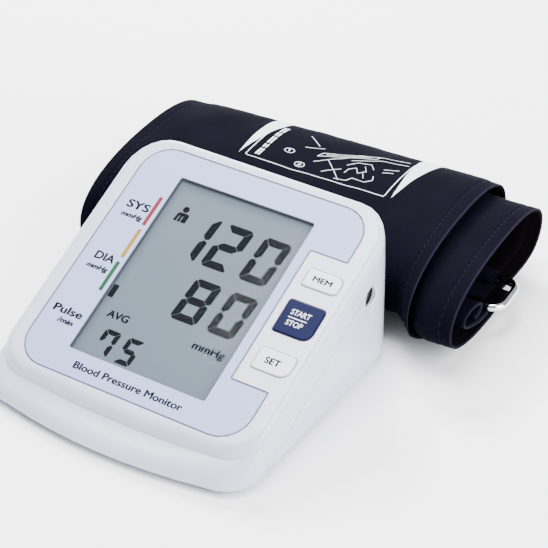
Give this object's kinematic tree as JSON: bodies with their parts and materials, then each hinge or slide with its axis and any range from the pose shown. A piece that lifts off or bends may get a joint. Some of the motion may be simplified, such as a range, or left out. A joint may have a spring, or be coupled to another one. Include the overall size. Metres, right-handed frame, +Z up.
{
  "type": "upper arm blood pressure monitor",
  "caption": "Wedge-shaped desk blood pressure monitor with a large display, three keys and inner air pump, beside its rolled cloth arm cuff with a wire ring.",
  "frame": {"origin": "middle of the whole object's bounding box, on the table", "axes": "+X to the right along the case's width, +Y from the case's low front to the cuff behind it, +Z up"},
  "size_m": [0.1708, 0.199, 0.0594],
  "materials": {
    "white_plastic": "fine satin moulding",
    "pale_blue_panel": "printed satin film",
    "clear_window": "clear polished window",
    "lcd_cell": "grey-green reflective liquid crystal cell",
    "grey_carrier": "moulded",
    "grey_rubber": "matt",
    "green_laminate": "solder resist",
    "blue_key": "satin",
    "black_plastic": "moulded",
    "plated_steel": "nickel plated",
    "brass": "turned",
    "cell_jacket": "printed jacket",
    "silicone": "translucent",
    "navy_cloth": "finely woven nylon",
    "hook_tape": "hook tape",
    "pile_tape": "pile tape",
    "chrome_wire": "polished wire"
  },
  "bodies": {
    "case": {"air_jack": "black_plastic", "battery_1": "cell_jacket", "battery_2": "cell_jacket", "battery_3": "cell_jacket", "battery_4": "cell_jacket", "case_screw_1": "plated_steel", "case_screw_2": "plated_steel", "case_screw_3": "plated_steel", "case_screw_4": "plated_steel", "contact_plate_1": "plated_steel", "contact_plate_2": "plated_steel", "contact_spring_1": "plated_steel", "contact_spring_2": "plated_steel", "contact_strip": "grey_rubber", "face_panel": "pale_blue_panel", "foot_1": "grey_rubber", "foot_2": "grey_rubber", "foot_3": "grey_rubber", "foot_4": "grey_rubber", "front_cover": "white_plastic", "lcd_glass": "lcd_cell", "lcd_lens": "clear_window", "lcd_tray": "grey_carrier", "main_board": "green_laminate", "manifold": "black_plastic", "pressure_sensor": "black_plastic", "pump_head": "black_plastic", "pump_motor": "plated_steel", "rear_cover": "white_plastic", "switch_mem": "black_plastic", "switch_set": "black_plastic", "switch_start": "black_plastic", "tube_jack": "silicone", "tube_pump": "silicone", "tube_sensor": "silicone", "tube_valve": "silicone", "valve_body": "plated_steel"},
    "key_mem": {"button_mem": "white_plastic"},
    "key_start": {"button_start": "blue_key"},
    "key_set": {"button_set": "white_plastic"},
    "door": {"battery_door": "white_plastic"},
    "crank": {"pump_crank": "brass"},
    "plunger": {"valve_plunger": "brass"},
    "cuff": {"cuff_band": "navy_cloth", "cuff_bladder": "grey_rubber", "hose_port": "black_plastic", "hook_patch": "hook_tape", "pile_patch": "pile_tape", "ring_loop": "navy_cloth"},
    "ring": {"strap_ring": "chrome_wire"}
  },
  "joints": [
    {"name": "mem_press", "type": "slide", "parent": "case", "child": "key_mem", "axis": [0, 0.4131, -0.9107], "range_m": [0, 0.0007], "stiffness_N_per_m": 1500},
    {"name": "start_press", "type": "slide", "parent": "case", "child": "key_start", "axis": [0, 0.4131, -0.9107], "range_m": [0, 0.0007], "stiffness_N_per_m": 1500},
    {"name": "set_press", "type": "slide", "parent": "case", "child": "key_set", "axis": [0, 0.4131, -0.9107], "range_m": [0, 0.0007], "stiffness_N_per_m": 1500},
    {"name": "battery_door_hinge", "type": "hinge", "parent": "case", "child": "door", "pos_m": [-0.00402, -0.02965, 0.0026], "axis": [-1, 0, 0], "range_deg": [0, 75]},
    {"name": "pump_spin", "type": "hinge", "parent": "case", "child": "crank", "pos_m": [-0.01542, 0.00335, 0.033], "axis": [1, 0, 0], "continuous": true},
    {"name": "valve_shift", "type": "slide", "parent": "case", "child": "plunger", "axis": [-1, 0, 0], "range_m": [0, 0.001], "stiffness_N_per_m": 300},
    {"name": "cuff_lift", "type": "slide", "parent": "case", "child": "cuff", "axis": [0, 0, 1], "range_m": [0, 0.15]},
    {"name": "ring_swing", "type": "hinge", "parent": "cuff", "child": "ring", "pos_m": [0.00777, 0.05492, 0.0131], "axis": [-0.9978, -0.0663, 0], "range_deg": [0, 35]}
  ]
}
